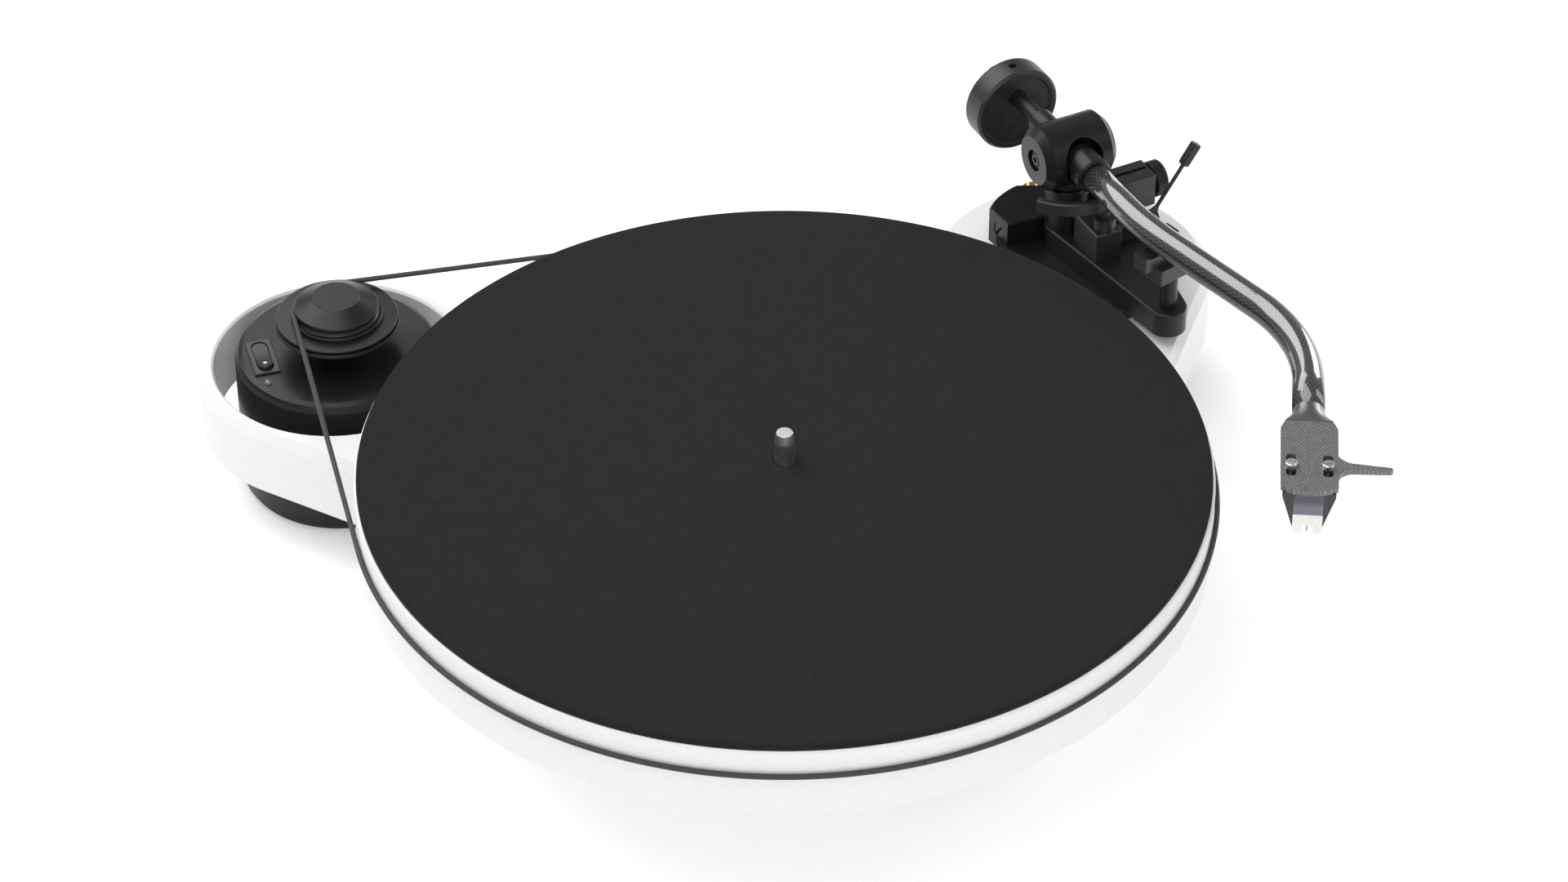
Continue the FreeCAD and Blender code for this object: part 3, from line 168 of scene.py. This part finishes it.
class Finish:
    """A material whose colour, roughness and relief come from patterns in the piece's own space."""

    def __init__(self, kind, piece):
        self.piece = piece
        self.material = bpy.data.materials.new(kind + "_finish")
        self.material.use_nodes = True
        self.tree = self.material.node_tree
        self.shader = self.tree.nodes["Principled BSDF"]
        self.where = self.node("TexCoord").outputs["Object"]

    def base(self, colour, roughness, **sockets):
        """Plain values, which hold wherever no pattern is put on the socket."""
        self.put("Base Color", (*colour, 1.0))
        self.put("Roughness", roughness)
        for socket, value in sockets.items():
            self.put(socket.replace("_", " "), value)

    def feed(self, socket, value):
        """Sets a plain value, or links another node's output."""
        if isinstance(value, bpy.types.NodeSocket):
            self.tree.links.new(value, socket)
        else:
            socket.default_value = value

    def put(self, socket, value):
        self.feed(self.shader.inputs[socket], value)

    def node(self, kind, *values, **settings):
        made = self.tree.nodes.new("ShaderNode" + kind)
        for key, value in settings.items():
            setattr(made, key, value)
        for socket, value in zip(made.inputs, values):
            self.feed(socket, value)
        return made

    def calc(self, operation, *values):
        return self.node("Math", *values, operation=operation).outputs[0]

    def noise(self, grain, detail=3.0, stretch=(1, 1, 1)):
        """Soft noise whose grains are about that many metres across."""
        placed = self.node("Mapping", self.where)
        placed.inputs["Scale"].default_value = Vector(stretch) / grain
        texture = self.node("TexNoise", placed.outputs[0])
        texture.inputs["Scale"].default_value = 1.0
        texture.inputs["Detail"].default_value = detail
        return texture.outputs["Fac"]

    def spread(self, value, low, high, start=0.3, end=0.7):
        """The value's run from start to end, laid out from low to high."""
        return self.node("MapRange", value, start, end, low, high).outputs[0]

    def tint(self, factor, first, second):
        """Mixes two colours; each is a plain one or another node's output."""
        mixed = self.node("Mix", data_type="RGBA")
        self.feed(mixed.inputs[MIX_FACTOR], factor)
        for socket, colour in zip(MIX_COLOURS, (first, second)):
            plain = not isinstance(colour, bpy.types.NodeSocket)
            self.feed(mixed.inputs[socket], (*colour, 1.0) if plain else colour)
        return mixed.outputs[MIX_RESULT]

    def relief(self, height, depth):
        """Adds bump that is about that many metres deep."""
        bump = self.node("Bump")
        self.feed(bump.inputs["Height"], height)
        bump.inputs["Distance"].default_value = depth
        for link in list(self.shader.inputs["Normal"].links):
            self.feed(bump.inputs["Normal"], link.from_socket)
        self.put("Normal", bump.outputs[0])

    def along(self, origin, direction):
        """Distance from a point along a direction."""
        offset = self.node("VectorMath", self.where, operation="SUBTRACT")
        offset.inputs[1].default_value = origin
        run = self.node("VectorMath", offset.outputs[0], operation="DOT_PRODUCT")
        run.inputs[1].default_value = direction
        return run.outputs["Value"]

    def hypotenuse(self, x, y):
        return self.calc("SQRT", self.calc("ADD", self.calc("MULTIPLY", x, x), self.calc("MULTIPLY", y, y)))

    def lathe(self, origin, axis, pitch):
        """Fine lines round an axis, as a lathe leaves them, on end faces and on round walls."""
        first = axis.orthogonal().normalized()
        second = axis.cross(first).normalized()
        x, y, z = (self.along(origin, d) for d in (first, second, axis))
        radius = self.hypotenuse(x, y)
        line = self.calc("DIVIDE", self.calc("MULTIPLY_ADD", z, LATHE_SLANT, radius), pitch)
        texture = self.node("TexNoise", noise_dimensions="1D")
        self.feed(texture.inputs["W"], line)
        texture.inputs["Scale"].default_value = 1.0
        texture.inputs["Detail"].default_value = 2.0
        return texture.outputs["Fac"]

    def wave(self, value, half):
        """A sine whose half wave is that long."""
        return self.calc("SINE", self.calc("MULTIPLY", value, math.pi / half))

    def weave(self, along, across, long, wide):
        """Height of a fine weave laid aslant: rows of small cells, each row half a cell on."""
        first = self.calc("COSINE", self.calc("MULTIPLY", along, 2 * math.pi / long))
        second = self.calc("COSINE", self.calc("MULTIPLY", across, 2 * math.pi / wide))
        return self.calc("MULTIPLY_ADD", self.calc("MULTIPLY", first, second), 0.5, 0.5)

    def turning_lines(self, pitch):
        """Lathe lines about the piece's own axis."""
        return self.lathe(middle(self.piece), TURNED[self.piece], pitch)


def lacquer(finish):
    """White satin lacquer on MDF: faint orange peel under a very fine grain."""
    finish.base(grey(0.78), 0.42)
    grain, peel = finish.noise(0.5 * MM, 2), finish.noise(3.5 * MM, 2)
    finish.put("Base Color", finish.tint(finish.spread(grain, 0, 1), (0.72, 0.72, 0.715), (0.80, 0.80, 0.795)))
    finish.put("Roughness", finish.spread(peel, 0.36, 0.50))
    finish.relief(peel, 0.05 * MM)
    finish.relief(grain, 0.045 * MM)


def felt(finish):
    """Pressed wool felt: short fibres lying every way, matted into soft clouds."""
    finish.base(grey(0.015), 0.95, Sheen_Weight=0.04, Sheen_Roughness=0.5, Specular_IOR_Level=0.1)
    lie_x = finish.noise(0.35 * MM, 4, (0.3, 1.0, 1.0))
    lie_y = finish.noise(0.35 * MM, 4, (1.0, 0.3, 1.0))
    cloud = finish.noise(7 * MM, 3)
    fibres = finish.calc("MAXIMUM", lie_x, lie_y)
    tufts = finish.spread(fibres, 0.55, 1.35, 0.42, 0.72)
    shade = finish.calc("MULTIPLY", tufts, finish.spread(cloud, 0.9, 1.1))
    finish.put("Base Color", finish.tint(shade, grey(0.005), grey(0.017)))
    finish.relief(fibres, 0.16 * MM)


def black_aluminium(finish):
    """Bead-blasted and anodised: a fine even speckle, with lathe lines on the turned pieces."""
    finish.base(grey(0.008), 0.36, Metallic=0.1, Specular_IOR_Level=0.34)
    blast = finish.noise(0.3 * MM, 3)
    cloud = finish.noise(9 * MM, 2)
    finish.put("Base Color", finish.tint(finish.spread(blast, 0, 1), grey(0.005), grey(0.012)))
    rough = finish.calc("ADD", finish.spread(blast, 0.31, 0.41), finish.spread(cloud, -0.03, 0.03))
    if finish.piece in TURNED:
        lines = finish.turning_lines(0.5 * MM)
        rough = finish.calc("ADD", rough, finish.spread(lines, -0.05, 0.05))
        finish.relief(lines, 0.005 * MM)
    finish.put("Roughness", rough)
    finish.relief(blast, 0.012 * MM)


def grey_aluminium(finish):
    """Machined and dyed dark, with fine lathe lines round each face."""
    finish.base(grey(0.06), 0.35, Metallic=0.75)
    blast = finish.noise(0.3 * MM, 2)
    shade = finish.spread(blast, 0.3, 0.7)
    if finish.piece in TURNED:
        lines = finish.turning_lines(0.35 * MM)
        shade = finish.calc("ADD", finish.spread(blast, -0.1, 0.1), finish.spread(lines, 0.35, 0.65))
        finish.relief(lines, 0.003 * MM)
    finish.put("Base Color", finish.tint(shade, grey(0.018), grey(0.04)))
    finish.put("Roughness", finish.spread(blast, 0.34, 0.44))


def bright_steel(finish):
    """Bright steel with a satin polish, fine lathe lines and a few softer smears."""
    finish.base(grey(0.78), 0.32, Metallic=1.0)
    smear = finish.noise(5 * MM, 3)
    shade = finish.spread(smear, 0.3, 0.8)
    if finish.piece in TURNED:
        lines = finish.turning_lines(0.25 * MM)
        shade = finish.calc("ADD", finish.spread(smear, -0.1, 0.1), finish.spread(lines, 0.2, 1.0))
        finish.relief(lines, 0.008 * MM)
    finish.put("Base Color", finish.tint(shade, grey(0.68), grey(0.88)))
    finish.put("Roughness", finish.spread(smear, 0.26, 0.38))


def blackened_steel(finish):
    """Blackened steel: darker and warmer patches in a thin satin coat."""
    finish.base(grey(0.03), 0.38, Metallic=0.35)
    patch, speck = finish.noise(6 * MM, 4), finish.noise(0.35 * MM, 2)
    shade = finish.calc("ADD", finish.spread(patch, 0.2, 0.6), finish.spread(speck, -0.2, 0.3))
    rough = finish.spread(speck, 0.34, 0.48)
    if finish.piece in TURNED:
        lines = finish.turning_lines(0.4 * MM)
        rough = finish.calc("ADD", rough, finish.spread(lines, -0.06, 0.06))
        finish.relief(lines, 0.014 * MM)
    finish.put("Base Color", finish.tint(shade, (0.016, 0.016, 0.017), (0.045, 0.044, 0.043)))
    finish.put("Roughness", rough)
    finish.relief(speck, 0.012 * MM)


def bearing_bronze(finish):
    """Sintered bronze: open pores and a film of oil."""
    finish.base((0.45, 0.25, 0.08), 0.35, Metallic=1.0)
    pores, film = finish.noise(0.25 * MM, 3), finish.noise(4 * MM, 2)
    finish.put("Base Color", finish.tint(finish.spread(pores, 0, 1), (0.22, 0.11, 0.035), (0.55, 0.32, 0.11)))
    finish.put("Roughness", finish.spread(film, 0.25, 0.5))
    finish.relief(pores, 0.03 * MM)


def ceramic_ball(finish):
    """Ground and polished ceramic, very slightly mottled."""
    finish.base(grey(0.8), 0.08, Coat_Weight=0.5)
    mottle = finish.noise(0.8 * MM, 3)
    finish.put("Base Color", finish.tint(finish.spread(mottle, 0, 1), (0.76, 0.75, 0.72), (0.86, 0.86, 0.84)))
    finish.put("Roughness", finish.spread(mottle, 0.05, 0.12))


def black_plastic(finish):
    """Moulded black plastic with a fine spark-eroded grain."""
    finish.base(grey(0.012), 0.34)
    grain = finish.noise(0.25 * MM, 2)
    finish.put("Base Color", finish.tint(finish.spread(grain, 0, 1), grey(0.009), grey(0.018)))
    finish.put("Roughness", finish.spread(grain, 0.28, 0.42))
    finish.relief(grain, 0.012 * MM)


def add_dot(finish):
    """A small white dot near the rocker's outer end."""
    dot_at = middle(finish.piece) + DOT_OUT
    far = finish.hypotenuse(finish.along(dot_at, RIGHT), finish.along(dot_at, BACK))
    inside = finish.calc("LESS_THAN", far, DOT_R)
    plain = finish.shader.inputs["Base Color"].links[0].from_socket
    finish.put("Base Color", finish.tint(inside, plain, grey(0.95)))


def belt_rubber(finish):
    """Ground rubber: matt, with a dusting that catches the light."""
    finish.base(grey(0.035), 0.62)
    grind, dust = finish.noise(0.2 * MM, 3), finish.noise(2.5 * MM, 3)
    shade = finish.calc("ADD", finish.spread(grind, 0.0, 0.6), finish.spread(dust, 0.0, 0.4))
    finish.put("Base Color", finish.tint(shade, grey(0.018), grey(0.05)))
    finish.put("Roughness", finish.spread(grind, 0.5, 0.75))
    finish.relief(grind, 0.02 * MM)


def foot_rubber(finish):
    """Moulded rubber with a dull bloom."""
    finish.base(grey(0.012), 0.7)
    bloom, grain = finish.noise(3 * MM, 4), finish.noise(0.3 * MM, 2)
    finish.put("Base Color", finish.tint(finish.spread(bloom, 0, 1), grey(0.007), grey(0.022)))
    finish.put("Roughness", finish.spread(grain, 0.6, 0.8))
    finish.relief(grain, 0.02 * MM)


def carbon_gloss(finish):
    """Roll-wrapped carbon tube under a thick, glossy clear coat."""
    finish.base(grey(0.02), 0.4, Metallic=0.2, Coat_Weight=1.0, Coat_Roughness=0.04, Coat_IOR=COAT_IOR)
    split = finish.node("SeparateXYZ", finish.node("UVMap", uv_map=SKIN_UV).outputs[0])
    cells = finish.weave(split.outputs[0], split.outputs[1], *TUBE_CELLS)
    fibres = finish.noise(0.15 * MM, 2)
    shade = finish.calc("MULTIPLY", finish.calc("POWER", cells, 2.0), finish.spread(fibres, 0.7, 1.2))
    finish.put("Base Color", finish.tint(shade, grey(0.006), grey(0.085)))
    finish.put("Roughness", finish.spread(fibres, 0.35, 0.5))
    finish.relief(cells, 0.02 * MM)


def carbon_satin(finish):
    """Headshell plate rubbed to a satin, with small light flecks; its neck is dark and clear-coated."""
    finish.base(grey(0.16), 0.4, Metallic=0.25, Coat_Roughness=0.32, Coat_IOR=COAT_IOR)
    along, across = finish.along(SLOTS, ALONG_HEAD), finish.along(SLOTS, ALONG_HEAD.cross(UP))
    neck = finish.calc("LESS_THAN", along, -NECK)
    fine = finish.weave(along, across, *HEAD_CELLS)
    broad = finish.weave(along, across, *TUBE_CELLS)
    wander = finish.noise(1.1 * MM, 3)
    fleck = finish.calc("MULTIPLY", finish.calc("POWER", fine, 3.0), finish.spread(wander, 0.2, 1.3))
    plate = finish.tint(fleck, grey(0.125), grey(0.30))
    finish.put("Base Color", finish.tint(neck, plate, finish.tint(broad, grey(0.006), grey(0.06))))
    finish.put("Coat Weight", neck)
    finish.put("Roughness", finish.spread(wander, 0.34, 0.48))
    finish.relief(fleck, 0.012 * MM)


def copper_winding(finish):
    """Enamelled wire wound side by side, with painted shade in the grooves between the turns."""
    finish.base((0.4, 0.14, 0.05), 0.3, Metallic=0.9, Coat_Weight=0.6)
    height = finish.along(middle(finish.piece), UP)
    turns = finish.calc("ABSOLUTE", finish.wave(height, 0.5 * MM))
    cloud = finish.noise(4 * MM, 2)
    # painted shade: the colour darkens towards the grooves between the turns and is lightest on each turn's
    # crown
    finish.put("Base Color", finish.tint(turns, (0.08, 0.02, 0.008), (0.55, 0.2, 0.08)))
    finish.put("Roughness", finish.spread(cloud, 0.22, 0.4))
    finish.relief(turns, 0.2 * MM)


def board_green(finish):
    """Glass-fibre board: cloth under green solder mask, with tracks showing lighter."""
    finish.base((0.01, 0.09, 0.03), 0.3, Coat_Weight=0.5)
    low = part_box(finish.piece)[0]
    y, z = finish.along(low, BACK), finish.along(low, UP)
    weave = finish.calc("MULTIPLY", finish.wave(y, 0.4 * MM), finish.wave(z, 0.4 * MM))
    lane = finish.calc("FRACT", finish.calc("DIVIDE", y, 2.5 * MM))
    track = finish.calc("LESS_THAN", lane, 0.35)
    shade = finish.calc("MULTIPLY_ADD", weave, 0.12, finish.calc("MULTIPLY_ADD", track, 0.4, 0.3))
    finish.put("Base Color", finish.tint(shade, (0.006, 0.05, 0.018), (0.03, 0.2, 0.07)))
    finish.relief(track, 0.05 * MM)


def led_lens(finish):
    """Cloudy grey lens."""
    finish.base(grey(0.15), 0.3, Coat_Weight=0.3, Coat_Roughness=0.2, Subsurface_Weight=0.2,
                Subsurface_Scale=0.5 * MM)
    cloud = finish.noise(0.5 * MM, 2)
    finish.put("Base Color", finish.tint(finish.spread(cloud, 0, 1), (0.10, 0.10, 0.11), (0.2, 0.2, 0.215)))
    finish.put("Roughness", finish.spread(cloud, 0.08, 0.16))


def cartridge_black(finish):
    """Cast and painted body: semi-gloss black with a light texture."""
    finish.base(grey(0.008), 0.28, Coat_Weight=0.3, Coat_Roughness=0.15)
    texture, grain = finish.noise(1.2 * MM, 2), finish.noise(0.2 * MM, 2)
    finish.put("Base Color", finish.tint(finish.spread(grain, 0, 1), grey(0.005), grey(0.013)))
    finish.put("Roughness", finish.spread(texture, 0.22, 0.36))
    finish.relief(texture, 0.015 * MM)


def cartridge_grey(finish):
    """Front panel: grey with a hint of violet, with painted shade: darker above, where the headshell shades
    it, and lighter below.
    """
    finish.base((0.1, 0.1, 0.13), 0.4)
    low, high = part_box(finish.piece)
    rise = finish.calc("DIVIDE", finish.along(low, UP), high.z - low.z)
    grain = finish.noise(0.2 * MM, 2)
    # painted shade: the panel's colour darkens towards its top, under the headshell
    shade = finish.calc("ADD", finish.spread(rise, 0.85, 0.15, 0.35, 0.6), finish.spread(grain, -0.06, 0.06))
    finish.put("Base Color", finish.tint(shade, (0.05, 0.05, 0.066), (0.17, 0.17, 0.215)))
    finish.put("Roughness", finish.spread(grain, 0.34, 0.48))


def cream_plastic(finish):
    """Satin cream moulding, slightly translucent."""
    finish.base((0.80, 0.79, 0.74), 0.35, Subsurface_Weight=0.25, Subsurface_Scale=0.6 * MM, Coat_Weight=0.2)
    cloud, grain = finish.noise(1.5 * MM, 2), finish.noise(0.2 * MM, 2)
    finish.put("Base Color", finish.tint(finish.spread(cloud, 0, 1), (0.76, 0.75, 0.70), (0.84, 0.83, 0.79)))
    finish.put("Roughness", finish.spread(grain, 0.3, 0.42))


def gold_contact(finish):
    """Gold flash over brass, with faint tarnish."""
    finish.base((0.75, 0.5, 0.18), 0.2, Metallic=1.0)
    tarnish, draw = finish.noise(1.5 * MM, 3), finish.noise(0.15 * MM, 2)
    finish.put("Base Color", finish.tint(finish.spread(tarnish, 0, 1), (0.6, 0.36, 0.11), (0.85, 0.6, 0.25)))
    finish.put("Roughness", finish.spread(draw, 0.14, 0.3))


FINISHES = [lacquer, felt, black_aluminium, grey_aluminium, bright_steel, blackened_steel, bearing_bronze,
            ceramic_ball, black_plastic, belt_rubber, foot_rubber, carbon_gloss, carbon_satin, copper_winding,
            board_green, led_lens, cartridge_black, cartridge_grey, cream_plastic, gold_contact]


def finished(maker, piece):
    """Runs one maker on a new material for that piece."""
    finish = Finish(maker.__name__, piece)
    maker(finish)
    return finish


def finish_nodes():
    """Gives every CAD node its slot's finish; turned pieces get one of their own, about their own axis."""
    makers = {maker.__name__: maker for maker in FINISHES}
    shared = {}
    for name, obj in sorted(NODES.items()):
        own = name in TURNED or name == ROCKER
        for place in obj.material_slots:
            kind = place.material.name
            if own:
                made = finished(makers[kind], name)
            elif kind in shared:
                made = shared[kind]
            else:
                made = shared[kind] = finished(makers[kind], name)
            if name == ROCKER:
                add_dot(made)
            place.material = made.material


# ---- pieces made here --------------------------------------------------------------------------------
def new_mesh(name, mesh):
    """Turns the built shape into mesh data and frees it."""
    bmesh.ops.recalc_face_normals(mesh, faces=mesh.faces)
    data = bpy.data.meshes.new(name)
    mesh.to_mesh(data)
    mesh.free()
    return data


def add_piece(data, body, maker, replaced):
    """Adds a smooth piece that rides on a body and stands for one CAD node."""
    piece = bpy.data.objects.new(data.name, data)
    bpy.context.scene.collection.objects.link(piece)
    data.materials.append(finished(maker, replaced).material)
    data.shade_smooth()
    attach(piece, body)
    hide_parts(replaced)
    return piece


def spun(vector, angle):
    """The vector's level part, turned about the upright."""
    turn = Vector((math.cos(angle), math.sin(angle), 0))
    return Vector((vector.x * turn.x - vector.y * turn.y, vector.x * turn.y + vector.y * turn.x, 0))


def arm_line():
    """Points and directions along the tube: straight runs joined by tangent arcs."""
    corners = [TUBE_START, *(corner for corner, _ in BENDS), TUBE_END]
    line = [(TUBE_START, (corners[1] - corners[0]).normalized())]
    for i, (corner, radius) in enumerate(BENDS, 1):
        before = (corners[i] - corners[i - 1]).normalized()
        after = (corners[i + 1] - corners[i]).normalized()
        turn = before.angle(after)
        centre = corner + (after - before).normalized() * radius / math.cos(turn / 2)
        arm = corner - before * radius * math.tan(turn / 2) - centre
        spin = 1 if before.cross(after).z > 0 else -1
        for k in range(BEND_STEPS + 1):
            angle = spin * turn * k / BEND_STEPS
            line.append((centre + spun(arm, angle), spun(before, angle)))
    line.append((TUBE_END, (corners[-1] - corners[-2]).normalized()))
    return line


def sweep(name, line, radius_at, sides, closed):
    """Round skin along a line, with its length and girth in metres kept as its UV map."""
    mesh = bmesh.new()
    uv = mesh.loops.layers.uv.new(SKIN_UV)
    lengths = [0.0]
    for (a, _), (b, _) in zip(line, line[1:]):
        lengths.append(lengths[-1] + (b - a).length)
    rings = []
    for (point, along), length in zip(line, lengths):
        side = along.cross(UP).normalized()
        lift = side.cross(along).normalized()
        radius = radius_at(length / lengths[-1])
        turns = (2 * math.pi * k / sides for k in range(sides))
        outward = (side * math.cos(a) + lift * math.sin(a) for a in turns)
        rings.append([mesh.verts.new(point + way * radius) for way in outward])
    pairs = list(zip(rings, rings[1:], lengths, lengths[1:]))
    if closed:
        pairs.append((rings[-1], rings[0], lengths[-1], lengths[-1] + (line[0][0] - line[-1][0]).length))
    girth = 2 * math.pi * radius_at(0.5)
    for low, high, start, end in pairs:
        for k in range(sides):
            n = (k + 1) % sides
            face = mesh.faces.new((low[k], low[n], high[n], high[k]))
            near, far = girth * k / sides, girth * (k + 1) / sides
            for loop, place in zip(face.loops, ((start, near), (start, far), (end, far), (end, near))):
                loop[uv].uv = place
    if not closed:
        mesh.faces.new(reversed(rings[0]))
        mesh.faces.new(rings[-1])
    return new_mesh(name, mesh)


def make_tube():
    data = sweep("arm_tube_skin", arm_line(), lambda t: TUBE_R0 + (TUBE_R1 - TUBE_R0) * t, TUBE_SIDES, False)
    add_piece(data, "arm_body", carbon_gloss, "arm_tube")


def make_belt():
    """The belt runs round the platter's rim and the pulley's lower groove, on two straight runs between."""
    low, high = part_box("drive_belt")
    belt_r = (high.z - low.z) / 2
    big_r = high.x - belt_r - AXIS.x
    pulley = middle("pulley")
    small_r = pulley.x - (low.x + belt_r)
    height = Vector((0, 0, (low.z + high.z) / 2))
    circles = [(AXIS + height, big_r), (Vector((pulley.x, pulley.y, 0)) + height, small_r)]
    gap = circles[1][0] - circles[0][0]
    out = math.atan2(gap.y, gap.x)
    lean = math.acos((big_r - small_r) / gap.length)
    arcs = [(circles[0], out + lean, out + 2 * math.pi - lean, RIM_STEPS),
            (circles[1], out - lean, out + lean, PULLEY_STEPS)]
    line = []
    for (centre, radius), start, end, steps in arcs:
        for k in range(steps + 1):
            angle = start + (end - start) * k / steps
            line.append((centre + Vector((math.cos(angle), math.sin(angle), 0)) * radius,
                         Vector((-math.sin(angle), math.cos(angle), 0))))
    data = sweep("belt_ring", line, lambda t: belt_r, BELT_SIDES, True)
    add_piece(data, "base", belt_rubber, "drive_belt")


def make_mat():
    """The felt mat as cloth with a soft cut edge, lying on the platter and not quite flat."""
    low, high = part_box("felt_mat")
    outer = (high.x - low.x) / 2
    rows = [(outer - FOOT_IN, low.z), (outer - SIDE_IN, low.z + EDGE), (outer - SIDE_IN, high.z - 2 * EDGE),
            (outer - EDGE, high.z - 0.4 * EDGE)]
    inward = outer - 2 * EDGE - SPINDLE_HOLE_R
    rows += [(outer - 2 * EDGE - inward * k / MAT_RINGS, high.z) for k in range(MAT_RINGS + 1)]
    rows += [(SPINDLE_HOLE_R, low.z)]
    mesh = bmesh.new()
    rings = []
    for radius, z in rows:
        ring = []
        for k in range(MAT_SIDES):
            angle = 2 * math.pi * k / MAT_SIDES
            reach = radius
            if radius > outer - EDGE:
                where = Vector((math.cos(angle), math.sin(angle), z / MM))
                reach += noise.noise(where * FRAY_GRAIN) * FRAY - FRAY
            place = Vector((AXIS.x + reach * math.cos(angle), AXIS.y + reach * math.sin(angle), z))
            if z >= high.z - EDGE:
                place.z += noise.noise(place * WAVE_GRAIN) * 2 * WAVE - WAVE
            ring.append(mesh.verts.new(place))
        rings.append(ring)
    for low_ring, high_ring in zip(rings, rings[1:] + rings[:1]):
        for k in range(MAT_SIDES):
            n = (k + 1) % MAT_SIDES
            mesh.faces.new((low_ring[k], low_ring[n], high_ring[n], high_ring[k]))
    cloth = add_piece(new_mesh("felt_mat_cloth", mesh), "platter_body", felt, "felt_mat")


def make_floor():
    data = bpy.data.meshes.new("floor")
    corners = [(x * FLOOR_HALF, y * FLOOR_HALF, 0) for x, y in ((-1, -1), (1, -1), (1, 1), (-1, 1))]
    data.from_pydata(corners, [], [(0, 1, 2, 3)])
    floor = bpy.data.objects.new("floor", data)
    bpy.context.scene.collection.objects.link(floor)
    finish = Finish("floor", "floor")
    finish.base(grey(0.97), 0.7, Emission_Color=(1, 1, 1, 1), Emission_Strength=FLOOR_GLOW)
    finish.put("Roughness", finish.spread(finish.noise(FLOOR_GRAIN, 2), 0.65, 0.75))
    data.materials.append(finish.material)


make_camera()
make_light()
make_floor()
finish_nodes()
make_tube()
make_belt()
make_mat()

bpy.context.view_layer.update()
